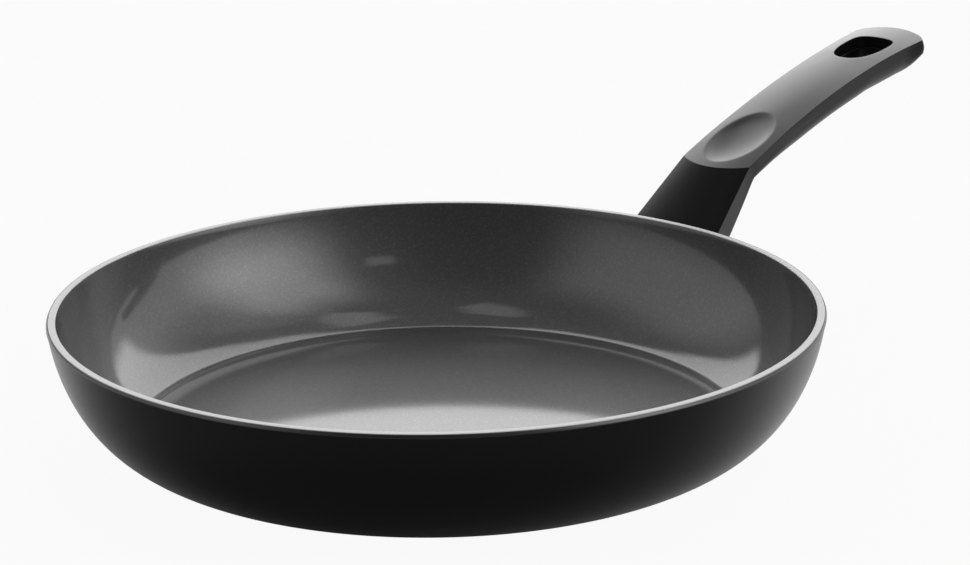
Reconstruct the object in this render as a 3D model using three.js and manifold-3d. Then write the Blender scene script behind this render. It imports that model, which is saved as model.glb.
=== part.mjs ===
import * as THREE from 'three';
import { mergeVertices } from 'three/addons/utils/BufferGeometryUtils.js';
import Module from 'manifold-3d';

// A frying pan with a fixed moulded handle, in millimetres.
// The origin is the middle of the underside, +Z is up and the handle points along +X.

const wasm = await Module();
wasm.setup();

// Pan: outside form
const rimRadius = 140;
const panHeight = 50;
const baseRadius = 95;
const wallLean = THREE.MathUtils.degToRad(7.7);
const wallUpperPull = 27.5;
const wallLowerPull = 25;
const rimLip = 1.5;
const rimEdge = 0.4;
const baseLift = 0.3;

// Pan: walls, floor and coats
const wallThickness = 3.4;
const creaseHeight = 6.1;
const floorRise = 0.6;
const floorShoulder = 4;
const innerCoat = 0.2;
const outerCoat = 0.2;
const primer = 0.05;

// Steel disc pressed into the underside
const discInset = 5;
const discThickness = 1;
const discClearance = 0.3;
const discHoleRadius = 3;
const discHolePitch = 26;
const discRowSpacing = 24;
const discEdgeMargin = 6;

// Handle: line of the top face, measured from the rim
const handleReach = 171.8;
const creaseReach = 36;
const creaseRise = 15.9;
const neckSlope = Math.tan(THREE.MathUtils.degToRad(36.5));
const gripStartSlope = Math.tan(THREE.MathUtils.degToRad(19.9));
const gripEndSlope = Math.tan(THREE.MathUtils.degToRad(4));

// Handle: widths, thicknesses and edges
const footWidth = 42.5;
const creaseWidth = 32;
const gripWidth = 30.5;
const tipWidth = 34.5;
const tipRadius = 31;
const noseLength = 10;
const noseBelly = 3.5;
const kneeReach = 41;
const kneeThickness = 11.5;
const gripThickness = 15.5;
const heelDepth = 34;
const heelInset = 10;
const footOverrun = 5;
const neckBand = 12.5;
const kneeBand = 6.4;
const gripBand = 5;
const bandInset = 0.8;
const neckCrown = 2.5;
const gripCrown = 1.2;

// Handle: thumb dimple and hanging hole
const dimpleLength = 40;
const dimpleWidth = 23.5;
const dimpleDepth = 2.8;
const dimpleBowl = 8;
const dimpleSetback = 16.6;
const holeLength = 27.4;
const holeWidth = 19.8;
const holeSetback = 29.6;
const holeNarrowPull = 0.66;
const holeBroadPull = 0.88;
const holeBroadest = 0.3;
const holeStep = 0.8;
const holeStepDepth = 5;

// Fixing: two threaded studs welded to the wall, and a screw with a lock washer in each
const fit = 0.3;
const studDrop = 20.5;
const studSpacing = 20;
const studWall = 1.7;
const studLength = 7;
const studFloor = 1.5;
const webThickness = 4;
const screwRadius = 2.5;
const screwEngagement = 4.5;
const headShoulder = 2.1;
const headHeight = 3;
const headEdge = 0.8;
const crossWidth = 1.2;
const crossMargin = 2.1;
const crossDepth = 1.8;
const washerThickness = 1;
const washerSlit = 0.8;
const recessClearance = 0.9;
const recessReach = 40;

// Facets
const panSegments = 60;
const wallSteps = 9;
const roundSegments = 24;
const smallSegments = 8;
const crownSteps = 8;
const bellySteps = 10;

const bareAluminium = new THREE.MeshStandardMaterial({ color: 0xd0d2d4, roughness: 0.3, metalness: 1 });
const ceramicGrey = new THREE.MeshStandardMaterial({ color: 0x4a4b4d, roughness: 0.35, metalness: 0.2 });
const blackLacquer = new THREE.MeshStandardMaterial({ color: 0x141415, roughness: 0.45, metalness: 0 });
const discSteel = new THREE.MeshStandardMaterial({ color: 0xa9abad, roughness: 0.35, metalness: 1 });
const blackPhenolic = new THREE.MeshStandardMaterial({ color: 0x1b1b1c, roughness: 0.5, metalness: 0 });
const zincSteel = new THREE.MeshStandardMaterial({ color: 0xb9bbbd, roughness: 0.4, metalness: 1 });

// Solids for cutting

function solidOf(geometry) {
  const plain = geometry.clone();
  for (const name of Object.keys(plain.attributes)) {
    if (name !== 'position') plain.deleteAttribute(name);
  }
  const merged = mergeVertices(plain, 1e-4);
  const index = merged.index.array;
  const triangles = [];
  for (let i = 0; i < index.length; i += 3) {
    const [a, b, c] = index.slice(i, i + 3);
    if (a !== b && b !== c && c !== a) triangles.push(a, b, c);
  }
  const vertProperties = Float32Array.from(merged.attributes.position.array);
  const triVerts = Uint32Array.from(triangles);
  return new wasm.Manifold(new wasm.Mesh({ numProp: 3, vertProperties, triVerts }));
}

function geometryOf(solid) {
  const { vertProperties, triVerts } = solid.getMesh();
  const geometry = new THREE.BufferGeometry();
  geometry.setAttribute('position', new THREE.BufferAttribute(vertProperties, 3));
  geometry.setIndex(new THREE.BufferAttribute(triVerts, 1));
  geometry.computeVertexNormals();
  return geometry;
}

function cut(geometry, tools) {
  const solid = tools.reduce((rest, tool) => rest.subtract(solidOf(tool)), solidOf(geometry));
  return geometryOf(solid);
}

// Turned shapes about the Z axis, from an outline of radius and height

function turned(outline, segments) {
  return new THREE.LatheGeometry(outline, segments).rotateX(Math.PI / 2);
}

function cylinder(radius, bottom, top, segments) {
  const outline = [
    new THREE.Vector2(0, bottom),
    new THREE.Vector2(radius, bottom),
    new THREE.Vector2(radius, top),
    new THREE.Vector2(0, top),
  ];
  return turned(outline, segments);
}

// Pan wall: one curve from the rim down to the flat base, shared by every layer

const lipFoot = new THREE.Vector2(rimRadius, panHeight - rimLip);
const wallCurve = new THREE.CubicBezierCurve(
  lipFoot,
  new THREE.Vector2(-Math.sin(wallLean), -Math.cos(wallLean)).multiplyScalar(wallUpperPull).add(lipFoot),
  new THREE.Vector2(baseRadius + wallLowerPull, baseLift),
  new THREE.Vector2(baseRadius, baseLift),
);
const discRadius = baseRadius - discInset;
const discSeat = discRadius + discClearance;

// The wall at one place on its curve, moved inwards
function wallPoint(t, inwards) {
  const along = wallCurve.getTangent(t);
  const inward = new THREE.Vector2(along.y, -along.x);
  return wallCurve.getPoint(t).addScaledVector(inward, inwards);
}

// The place on the wall's curve where it reaches a height, once moved inwards
function wallPlace(height, inwards) {
  let [above, below] = [0, 1];
  for (let i = 0; i < 40; i += 1) {
    const middle = (above + below) / 2;
    if (wallPoint(middle, inwards).y > height) above = middle;
    else below = middle;
  }
  return above;
}

// The outside, from the disc's seat up to the rim, moved into the wall
function outerLine(inwards) {
  const line = [new THREE.Vector2(discSeat, baseLift + inwards)];
  for (let i = wallSteps; i >= 0; i -= 1) line.push(wallPoint(i / wallSteps, inwards));
  line.push(new THREE.Vector2(rimRadius - inwards, panHeight - rimEdge));
  return line;
}

// The inside, from the middle of the floor up to the rim, moved into the wall
const floorHeight = creaseHeight + floorRise;
const creasePlace = wallPlace(creaseHeight, wallThickness);
const creaseRadius = wallPoint(creasePlace, wallThickness).x;

function innerLine(into) {
  const shoulder = new THREE.QuadraticBezierCurve(
    new THREE.Vector2(creaseRadius - floorShoulder, floorHeight - into),
    new THREE.Vector2(creaseRadius - floorShoulder / 3, floorHeight - into),
    new THREE.Vector2(creaseRadius, creaseHeight - into),
  );
  const line = [new THREE.Vector2(0, floorHeight - into), ...shoulder.getPoints(3)];
  for (let i = wallSteps - 1; i >= 0; i -= 1) {
    line.push(wallPoint(creasePlace * i / wallSteps, wallThickness - into));
  }
  line.push(new THREE.Vector2(rimRadius - wallThickness + into, panHeight - rimEdge));
  return line;
}

function panBody() {
  const outside = outerCoat + primer;
  const inside = innerCoat + primer;
  const rimTop = [
    new THREE.Vector2(rimRadius - outside - rimEdge, panHeight),
    new THREE.Vector2(rimRadius - wallThickness + inside + rimEdge, panHeight),
  ];
  const underside = [new THREE.Vector2(0, discThickness), new THREE.Vector2(discSeat, discThickness)];
  const outline = [...underside, ...outerLine(outside), ...rimTop, ...innerLine(inside).reverse()];
  return turned(outline, panSegments);
}

function ceramicCoating() {
  return turned([...innerLine(innerCoat), ...innerLine(0).reverse()], panSegments);
}

// Handle fixing: where the studs stand on the wall, with the local Z axis square to the wall

const studRadius = screwRadius + fit + studWall;
const headRadius = screwRadius + headShoulder;
const studPlace = wallPlace(panHeight - studDrop, 0);
const studFoot = wallPoint(studPlace, 0);
const studTangent = wallCurve.getTangent(studPlace);
const studTilt = Math.atan2(-studTangent.y, studTangent.x);
const studSides = { left: -studSpacing / 2, right: studSpacing / 2 };

function studFrame(side) {
  const frame = new THREE.Group();
  frame.position.set(Math.sqrt(studFoot.x ** 2 - side ** 2), side, studFoot.y);
  frame.rotation.y = studTilt;
  frame.updateMatrix();
  return frame;
}

// Lengths along a stud, from the wall outwards
const pocketEnd = studLength + fit;
const webEnd = pocketEnd + webThickness;
const washerBottom = webEnd + fit;
const headBottom = washerBottom + washerThickness + fit;
const screwBottom = studLength - screwEngagement;

function inStudFrame(geometry, side) {
  return geometry.applyMatrix4(studFrame(side).matrix);
}

// The pan's outside grown by a clearance, to cut what stands against it
function wallTool(clearance) {
  const outline = outerLine(-clearance);
  const closed = [new THREE.Vector2(0, baseLift - clearance), ...outline, new THREE.Vector2(0, panHeight)];
  return turned(closed, panSegments);
}

function outerCoating() {
  const skin = turned([...outerLine(0), ...outerLine(outerCoat).reverse(), outerLine(0)[0]], panSegments);
  const windows = Object.values(studSides).map((side) => {
    return inStudFrame(cylinder(studRadius + fit, -wallThickness / 2, studLength, roundSegments), side);
  });
  return cut(skin, windows);
}

function weldStud(side) {
  const outline = [
    new THREE.Vector2(0, -studLength),
    new THREE.Vector2(studRadius, -studLength),
    new THREE.Vector2(studRadius, studLength),
    new THREE.Vector2(screwRadius + fit, studLength),
    new THREE.Vector2(screwRadius + fit, studFloor),
    new THREE.Vector2(0, studFloor),
  ];
  return cut(inStudFrame(turned(outline, roundSegments), side), [wallTool(fit - outerCoat)]);
}

function handleScrew() {
  const headTop = headBottom + headHeight;
  const outline = [
    new THREE.Vector2(0, screwBottom),
    new THREE.Vector2(screwRadius, screwBottom),
    new THREE.Vector2(screwRadius, headBottom),
    new THREE.Vector2(headRadius, headBottom),
    new THREE.Vector2(headRadius, headTop - headEdge),
    new THREE.Vector2(headRadius - headEdge, headTop),
    new THREE.Vector2(0, headTop),
  ];
  const crossSpan = 2 * (headRadius - crossMargin);
  const slots = [[crossSpan, crossWidth], [crossWidth, crossSpan]].map(([x, y]) => {
    return new THREE.BoxGeometry(x, y, 2 * crossDepth).translate(0, 0, headTop);
  });
  return cut(turned(outline, roundSegments), slots);
}

function lockWasher() {
  const outline = [
    new THREE.Vector2(screwRadius + fit, washerBottom),
    new THREE.Vector2(headRadius, washerBottom),
    new THREE.Vector2(headRadius, washerBottom + washerThickness),
    new THREE.Vector2(screwRadius + fit, washerBottom + washerThickness),
    new THREE.Vector2(screwRadius + fit, washerBottom),
  ];
  const slit = new THREE.BoxGeometry(headRadius * 2, washerSlit, washerThickness * 2);
  return cut(turned(outline, roundSegments), [slit.translate(-headRadius, 0, washerBottom)]);
}

function inductionDisc() {
  const outline = new THREE.Shape();
  outline.absarc(0, 0, discRadius, 0, 2 * Math.PI);
  for (let row = discRowSpacing; row < discRadius - discEdgeMargin; row += discRowSpacing) {
    const count = Math.round(2 * Math.PI * row / discHolePitch);
    for (let i = 0; i < count; i += 1) {
      const middle = new THREE.Vector2(row, 0).rotateAround(new THREE.Vector2(), 2 * Math.PI * i / count);
      const corners = Array.from({ length: smallSegments }, (_, k) => {
        const angle = -2 * Math.PI * k / smallSegments;
        return new THREE.Vector2(Math.cos(angle), Math.sin(angle)).multiplyScalar(discHoleRadius).add(middle);
      });
      outline.holes.push(new THREE.Path(corners));
    }
  }
  const depth = discThickness;
  return new THREE.ExtrudeGeometry(outline, { depth, bevelEnabled: false, curveSegments: panSegments / 2 });
}

// Handle: the line of its top edges, its widths and its underside, by distance from the pan's axis

const creaseX = rimRadius + creaseReach;
const kneeX = rimRadius + kneeReach;
const tipX = rimRadius + handleReach;
const noseX = tipX - noseLength;
const tipCentreX = tipX - tipRadius;
const gripLength = handleReach - creaseReach;
const waistX = creaseX + gripLength / 3;

function ease(x, from, to) {
  return THREE.MathUtils.smoothstep(x, from, to);
}

function topSlope(x) {
  if (x < creaseX) return neckSlope;
  return THREE.MathUtils.mapLinear(x, creaseX, tipX, gripStartSlope, gripEndSlope);
}

function topHeight(x) {
  const creaseZ = panHeight + creaseRise;
  if (x < creaseX) return creaseZ + neckSlope * (x - creaseX);
  return creaseZ + (gripStartSlope + topSlope(x)) / 2 * (x - creaseX);
}

function halfWidth(x) {
  if (x < creaseX) return THREE.MathUtils.mapLinear(x, rimRadius, creaseX, footWidth, creaseWidth) / 2;
  const towardsWaist = THREE.MathUtils.lerp(creaseWidth, gripWidth, ease(x, creaseX, waistX));
  const flare = Math.max(0, (x - waistX) / (tipX - waistX)) ** 3;
  return (towardsWaist + flare * (tipWidth - gripWidth)) / 2;
}

function bandDepth(x) {
  const atKnee = THREE.MathUtils.lerp(neckBand, kneeBand, ease(x, creaseX - kneeBand, kneeX));
  return THREE.MathUtils.lerp(atKnee, gripBand, ease(x, kneeX, waistX));
}

function crown(x) {
  return x < creaseX ? neckCrown : gripCrown;
}

// The fuller neck meets the flatter grip on a line that bows towards the pan
const creaseBow = (neckCrown - gripCrown) / (neckSlope - gripStartSlope);

const kneeZ = topHeight(kneeX) - kneeThickness;
const heelX = rimRadius - heelInset;
const heelZ = panHeight - heelDepth;
const footX = wallPoint(wallPlace(heelZ, 0), 0).x - footOverrun;
const heelCurve = new THREE.CubicBezierCurve(
  new THREE.Vector2(kneeX, kneeZ),
  new THREE.Vector2(kneeX - (kneeX - heelX) / 3, kneeZ - (kneeX - heelX) / 3),
  new THREE.Vector2(heelX + (kneeX - heelX) / 2, heelZ),
  new THREE.Vector2(heelX, heelZ),
);

function heelHeight(x) {
  let [from, to] = [0, 1];
  for (let i = 0; i < 40; i += 1) {
    const middle = (from + to) / 2;
    if (heelCurve.getPoint(middle).x > x) from = middle;
    else to = middle;
  }
  return heelCurve.getPoint(from).y;
}

function bellyDepth(x) {
  if (x < kneeX) return topHeight(x) - bandDepth(x) - heelHeight(x);
  const thickness = THREE.MathUtils.lerp(kneeThickness, gripThickness, ease(x, kneeX, waistX));
  const noseShare = THREE.MathUtils.clamp((x - noseX) / noseLength, 0, 1);
  const full = thickness - bandDepth(x);
  return noseBelly + (full - noseBelly) * Math.sqrt(1 - noseShare ** 2);
}

// One upright section across the handle: a crowned top, a flat band down each side and a round belly
function handleSection(x) {
  const side = halfWidth(x);
  const half = x > tipCentreX ? Math.min(side, Math.sqrt(tipRadius ** 2 - (x - tipCentreX) ** 2)) : side;
  const topZ = topHeight(x);
  const ring = [];
  for (let i = 0; i <= crownSteps; i += 1) {
    const y = half * (1 - 2 * i / crownSteps);
    const swell = 1 - (y / side) ** 2;
    const bow = x === creaseX ? creaseBow * swell : 0;
    ring.push(new THREE.Vector3(x - bow, y, topZ - gripStartSlope * bow + crown(x) * swell));
  }
  const bandHalf = half - bandInset;
  const bandZ = topZ - bandDepth(x);
  for (let i = 0; i <= bellySteps; i += 1) {
    const angle = Math.PI * i / bellySteps;
    ring.push(new THREE.Vector3(x, -bandHalf * Math.cos(angle), bandZ - bellyDepth(x) * Math.sin(angle)));
  }
  return ring;
}

function stations(from, to, steps) {
  return Array.from({ length: steps }, (_, i) => from + (to - from) * i / steps);
}

// A closed skin over rings of equal count, with a fan of triangles over each end
function loft(rings) {
  const count = rings[0].length;
  const middle = (ring) => ring.reduce((sum, p) => sum.add(p), new THREE.Vector3()).divideScalar(count);
  const points = [...rings.flat(), middle(rings[0]), middle(rings.at(-1))];
  const [firstMiddle, lastMiddle] = [points.length - 2, points.length - 1];
  const index = [];
  const lastRow = (rings.length - 1) * count;
  for (let k = 0; k < count; k += 1) {
    const next = (k + 1) % count;
    for (let row = 0; row < lastRow; row += count) {
      const [a, b, c, d] = [row + k, row + next, row + count + next, row + count + k];
      index.push(a, b, c, a, c, d);
    }
    index.push(firstMiddle, next, k);
    index.push(lastMiddle, lastRow + k, lastRow + next);
  }
  const geometry = new THREE.BufferGeometry().setFromPoints(points);
  geometry.setIndex(index);
  return geometry;
}

// The hanging hole's outline: narrow towards the pan, broad and blunt towards the tip
function holeTool(inset, bottom, top) {
  const end = holeLength / 2 - inset;
  const half = holeWidth / 2 - inset;
  const shape = new THREE.Shape();
  const broadest = end * holeBroadest;
  shape.moveTo(-end, 0);
  shape.bezierCurveTo(-end, -half * holeNarrowPull, -end / 2, -half, broadest, -half);
  shape.bezierCurveTo(end * holeBroadPull, -half, end, -half * holeBroadPull, end, 0);
  shape.bezierCurveTo(end, half * holeBroadPull, end * holeBroadPull, half, broadest, half);
  shape.bezierCurveTo(-end / 2, half, -end, half * holeNarrowPull, -end, 0);
  const depth = top - bottom;
  const tool = new THREE.ExtrudeGeometry(shape, { depth, bevelEnabled: false, curveSegments: smallSegments });
  return tool.translate(0, 0, bottom);
}

function onTopFace(geometry, x) {
  return geometry.rotateY(-Math.atan(topSlope(x))).translate(x, 0, topHeight(x) + gripCrown);
}

function dimpleTool() {
  const share = Math.sqrt(1 - (1 - dimpleDepth / dimpleBowl) ** 2);
  const ball = new THREE.SphereGeometry(1, roundSegments, roundSegments / 2).rotateX(Math.PI / 2);
  ball.scale(dimpleLength / 2 / share, dimpleWidth / 2 / share, dimpleBowl);
  return onTopFace(ball.translate(0, 0, dimpleBowl - dimpleDepth), creaseX + dimpleSetback);
}

function handle() {
  const tipStart = Math.asin((tipX - noseLength / 2 - tipCentreX) / tipRadius);
  const tipStations = stations(tipStart, Math.PI / 2, 6).map((a) => tipCentreX + tipRadius * Math.sin(a));
  const places = [
    ...stations(footX, creaseX - creaseBow, 6),
    ...stations(creaseX, kneeX, 2),
    ...stations(kneeX, waistX, 5),
    ...stations(waistX, noseX, 6),
    ...stations(noseX, tipStations[0], 2),
    ...tipStations,
  ];
  const holeX = tipX - holeSetback;
  const tools = [
    wallTool(fit),
    dimpleTool(),
    onTopFace(holeTool(0, -holeStepDepth, gripThickness), holeX),
    onTopFace(holeTool(holeStep, -2 * gripThickness, gripThickness), holeX),
  ];
  for (const side of Object.values(studSides)) {
    tools.push(inStudFrame(cylinder(studRadius + fit, -pocketEnd, pocketEnd, roundSegments), side));
    tools.push(inStudFrame(cylinder(screwRadius + fit, 0, recessReach, roundSegments), side));
    tools.push(inStudFrame(cylinder(headRadius + recessClearance, webEnd, recessReach, roundSegments), side));
  }
  return cut(loft(places.map(handleSection)), tools);
}

// Assembly

const pan = new THREE.Group();

function add(name, geometry, material, parent = pan) {
  const mesh = new THREE.Mesh(geometry, material);
  mesh.name = name;
  parent.add(mesh);
}

add('pan_body', panBody(), bareAluminium);
add('ceramic_coating', ceramicCoating(), ceramicGrey);
add('outer_coating', outerCoating(), blackLacquer);
add('induction_disc', inductionDisc(), discSteel);
add('handle', handle(), blackPhenolic);
for (const [name, side] of Object.entries(studSides)) {
  add(`weld_stud_${name}`, weldStud(side), bareAluminium);
  const frame = studFrame(side);
  add(`handle_screw_${name}`, handleScrew(), zincSteel, frame);
  add(`lock_washer_${name}`, lockWasher(), zincSteel, frame);
  pan.add(frame);
}

export default pan;
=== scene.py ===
import math
from functools import lru_cache

import bmesh
import bpy
from mathutils import Matrix, Vector


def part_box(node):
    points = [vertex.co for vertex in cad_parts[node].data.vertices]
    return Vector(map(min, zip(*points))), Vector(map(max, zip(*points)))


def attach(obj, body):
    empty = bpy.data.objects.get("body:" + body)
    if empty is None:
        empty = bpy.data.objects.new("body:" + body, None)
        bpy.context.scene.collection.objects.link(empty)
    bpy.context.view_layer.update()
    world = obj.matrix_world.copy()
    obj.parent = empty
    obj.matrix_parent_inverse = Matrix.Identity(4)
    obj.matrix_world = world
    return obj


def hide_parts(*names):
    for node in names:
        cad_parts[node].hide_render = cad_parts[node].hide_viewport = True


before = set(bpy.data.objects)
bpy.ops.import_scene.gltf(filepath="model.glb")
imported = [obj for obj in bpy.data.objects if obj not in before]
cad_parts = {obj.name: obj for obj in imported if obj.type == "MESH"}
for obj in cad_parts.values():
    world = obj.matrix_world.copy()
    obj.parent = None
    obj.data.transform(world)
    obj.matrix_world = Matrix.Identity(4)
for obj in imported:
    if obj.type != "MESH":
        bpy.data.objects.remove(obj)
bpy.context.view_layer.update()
scene = bpy.context.scene
mm = 0.001
sharpAngle = 35.0  # degrees between two faces from which their edge shows as sharp
mergeDistance = 1e-7  # m
halvings = 40  # steps of a search that halves its range
settling = 8  # steps in which a place that depends on itself settles


# Camera, at the photograph's viewing angle
cameraView = {
    "azimuth": -50.0,  # degrees round the pan from its left side
    "elevation": 17.336,
    "distance": 1120.0,  # from the middle of the rim, mm
    "lens": 115.18,
    "yaw": -0.936,  # degrees off the line to the middle of the rim
    "pitch": 16.956,
    "roll": -0.643,
    "reach": 20.0,  # nothing farther off is drawn, m
}


def turn(degrees, axis):
    return Matrix.Rotation(math.radians(degrees), 4, axis)


def addCamera(rimHeight):
    data = bpy.data.cameras.new("camera")
    data.lens = cameraView["lens"]
    data.clip_end = cameraView["reach"]
    camera = bpy.data.objects.new("camera", data)
    scene.collection.objects.link(camera)
    lineOfSight = turn(cameraView["azimuth"], "Z") @ turn(-cameraView["elevation"], "X")
    place = lineOfSight @ Vector((0, -cameraView["distance"], 0)) + Vector((0, 0, rimHeight))
    aim = turn(cameraView["azimuth"] + cameraView["yaw"], "Z") @ turn(90 - cameraView["pitch"], "X")
    camera.matrix_world = Matrix.Translation(place * mm) @ aim @ turn(cameraView["roll"], "Z")
    scene.camera = camera


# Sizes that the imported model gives, in millimetres
def highCorner(node):
    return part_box(node)[1] / mm


rimRadius = highCorner("outer_coating").y
panHeight = highCorner("pan_body").z
discRadius = highCorner("induction_disc").x
discThickness = highCorner("induction_disc").z
tipX = highCorner("handle").x
addCamera(panHeight)
print("camera set; rim", round(rimRadius, 2), "height", round(panHeight, 2), "tip", round(tipX, 2))


# Shared tools
def addPiece(name, bm, material, slotName, *replaced):
    mesh = bpy.data.meshes.new(name)
    bm.to_mesh(mesh)
    bm.free()
    mesh.materials.append(material)
    piece = bpy.data.objects.new(name, mesh)
    scene.collection.objects.link(piece)
    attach(piece, "root")
    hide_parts(*replaced)
    return piece


def shadeByAngle(bm):
    limit = math.radians(sharpAngle)
    for face in bm.faces:
        face.smooth = True
    for edge in bm.edges:
        edge.smooth = len(edge.link_faces) == 2 and edge.calc_face_angle(0) < limit


def turnProfile(bm, profile, steps, closed=False):
    verts = [bm.verts.new((r * mm, 0, z * mm)) for r, z in profile]
    edges = [bm.edges.new(pair) for pair in zip(verts, verts[1:])]
    if closed:
        edges.append(bm.edges.new((verts[-1], verts[0])))
    bmesh.ops.spin(bm, geom=verts + edges, cent=(0, 0, 0), axis=(0, 0, 1),
                   angle=2 * math.pi, steps=steps, use_merge=True)
    bmesh.ops.remove_doubles(bm, verts=bm.verts, dist=mergeDistance)
    bmesh.ops.dissolve_degenerate(bm, edges=bm.edges, dist=mergeDistance)
    bmesh.ops.recalc_face_normals(bm, faces=bm.faces)


# Raises flat faces into a solid
def thicken(bm, faces, height):
    raised = bmesh.ops.extrude_face_region(bm, geom=faces)
    tops = [item for item in raised["geom"] if isinstance(item, bmesh.types.BMVert)]
    bmesh.ops.translate(bm, verts=tops, vec=(0, 0, height * mm))
    bmesh.ops.recalc_face_normals(bm, faces=bm.faces)


def roundEdges(bm, edges, size):
    bmesh.ops.bevel(bm, geom=edges, offset=size * mm, offset_type="OFFSET", affect="EDGES",
                    segments=2, profile=0.5, material=-1, clamp_overlap=True)


def arc(middle, radius, fromAngle, toAngle, steps):
    angles = [math.radians(fromAngle + (toAngle - fromAngle) * k / steps) for k in range(steps + 1)]
    return [Vector((middle[0] + radius * math.cos(a), middle[1] + radius * math.sin(a))) for a in angles]


# A point of the curve that four points pull into shape
def cubic(points, t):
    a, b, c, d = points
    return a * (1 - t) ** 3 + b * 3 * t * (1 - t) ** 2 + c * 3 * t * t * (1 - t) + d * t ** 3


def lerp(a, b, t):
    return a + (b - a) * t


def smoothStep(x, low, high):
    t = min(max((x - low) / (high - low), 0), 1)
    return t * t * (3 - 2 * t)


# Shader helpers
def newMaterial(name):
    material = bpy.data.materials.new(name)
    material.use_nodes = True
    tree = material.node_tree
    return material, tree, tree.nodes["Principled BSDF"]


def addNode(tree, kind, links=None, **values):
    node = tree.nodes.new(kind)
    for key, value in values.items():
        setattr(node, key, value)
    for socket, source in (links or {}).items():
        if isinstance(source, bpy.types.NodeSocket):
            tree.links.new(source, node.inputs[socket])
        else:
            node.inputs[socket].default_value = source
    return node


def newGroup(name, inputs, outputs):
    group = bpy.data.node_groups.new(name, "ShaderNodeTree")
    for label, kind, value in inputs:
        socket = group.interface.new_socket(label, in_out="INPUT", socket_type=kind)
        socket.default_value = value
    for label, kind in outputs:
        group.interface.new_socket(label, in_out="OUTPUT", socket_type=kind)
    return group, group.nodes.new("NodeGroupInput"), group.nodes.new("NodeGroupOutput")


def placeGroup(tree, group, **values):
    node = tree.nodes.new("ShaderNodeGroup")
    node.node_tree = group
    for label, value in values.items():
        node.inputs[label].default_value = value
    return node


textureForm = {
    "patchesPerMetre": 38.0, "patchDetail": 3.0,
    "bandsPerMetre": 420.0, "ringDetail": 2.0,
    "ringBump": 0.5, "grainBump": 0.35, "fleckBump": 0.3,  # strength of each relief
}


# Fine grain of a sprayed or moulded surface, and broad patches of it, each from 0 to 1
def makeGrain():
    group, given, result = newGroup(
        "fineGrain",
        [("Scale", "NodeSocketFloat", 1000.0), ("Detail", "NodeSocketFloat", 2.0)],
        [("Height", "NodeSocketFloat"), ("Patches", "NodeSocketFloat")])
    where = addNode(group, "ShaderNodeTexCoord").outputs["Object"]
    fine = addNode(group, "ShaderNodeTexNoise", {
        "Vector": where, "Scale": given.outputs["Scale"], "Detail": given.outputs["Detail"]})
    broad = addNode(group, "ShaderNodeTexNoise", {
        "Vector": where, "Scale": textureForm["patchesPerMetre"], "Detail": textureForm["patchDetail"]})
    group.links.new(fine.outputs["Fac"], result.inputs["Height"])
    group.links.new(broad.outputs["Fac"], result.inputs["Patches"])
    return group


# Rings left by turning or spinning about the pan's axis, and broad bands of them, each from 0 to 1
def makeRings():
    group, given, result = newGroup(
        "turnedRings",
        [("Rings", "NodeSocketFloat", 4000.0)],
        [("Height", "NodeSocketFloat"), ("Bands", "NodeSocketFloat")])
    where = addNode(group, "ShaderNodeTexCoord").outputs["Object"]
    flat = addNode(group, "ShaderNodeVectorMath", {0: where, 1: (1, 1, 0)}, operation="MULTIPLY")
    radius = addNode(group, "ShaderNodeVectorMath", {0: flat.outputs["Vector"]}, operation="LENGTH")
    for label, scale in (("Height", given.outputs["Rings"]), ("Bands", textureForm["bandsPerMetre"])):
        noise = addNode(group, "ShaderNodeTexNoise", {
            "W": radius.outputs["Value"], "Scale": scale, "Detail": textureForm["ringDetail"]},
            noise_dimensions="1D")
        group.links.new(noise.outputs["Fac"], result.inputs[label])
    return group


fineGrain = makeGrain()
turnedRings = makeRings()


def rangeOf(tree, source, low, high):
    node = addNode(tree, "ShaderNodeMapRange", {"Value": source, "To Min": low, "To Max": high})
    return node.outputs["Result"]


def smoothRange(tree, source, low, high, top=1.0):
    node = addNode(tree, "ShaderNodeMapRange", {
        "Value": source, "From Min": low, "From Max": high, "To Max": top}, interpolation_type="SMOOTHSTEP")
    return node.outputs["Result"]


def mixColours(tree, share, first, second):
    node = addNode(tree, "ShaderNodeMix", {"Factor": share, "A": first, "B": second}, data_type="RGBA")
    return node.outputs["Result"]


def calculate(tree, operation, *values):
    return addNode(tree, "ShaderNodeMath", dict(enumerate(values)), operation=operation).outputs["Value"]


def bumpFrom(tree, height, strength, distance):
    node = addNode(tree, "ShaderNodeBump", {"Height": height, "Strength": strength, "Distance": distance})
    return node.outputs["Normal"]


# Finishes: how many rings or grains there are to a metre, and how deep they are in metres
metalFinishes = {
    "turned_aluminium": {
        "shade": (0.49, 0.49, 0.49), "roughness": (0.56, 0.64),
        "ringsPerMetre": 3500.0, "depth": 0.00002},
    "spun_steel": {
        "shade": (0.56, 0.56, 0.57), "roughness": (0.26, 0.4),
        "ringsPerMetre": 1400.0, "depth": 0.00005},
    "zinc_plate": {
        "shade": (0.6, 0.61, 0.62), "roughness": (0.3, 0.4),
        "ringsPerMetre": 900.0, "depth": 0.00001},
}
blackFinishes = {
    "black_lacquer": {
        "shade": (0.003, 0.003, 0.003), "roughness": (0.26, 0.32), "specular": 0.24,
        "grainsPerMetre": 1800.0, "depth": 0.00002},
    "black_phenolic": {
        "shade": (0.006, 0.006, 0.006), "roughness": (0.3, 0.38), "specular": 0.12,
        "grainsPerMetre": 1500.0, "depth": 0.00004},
}


# Broad changes go to the roughness, and a fine height to the relief
def addRelief(tree, shader, finish, broad, height, bump):
    tree.links.new(rangeOf(tree, broad, *finish["roughness"]), shader.inputs["Roughness"])
    tree.links.new(bumpFrom(tree, height, textureForm[bump], finish["depth"]), shader.inputs["Normal"])


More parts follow.
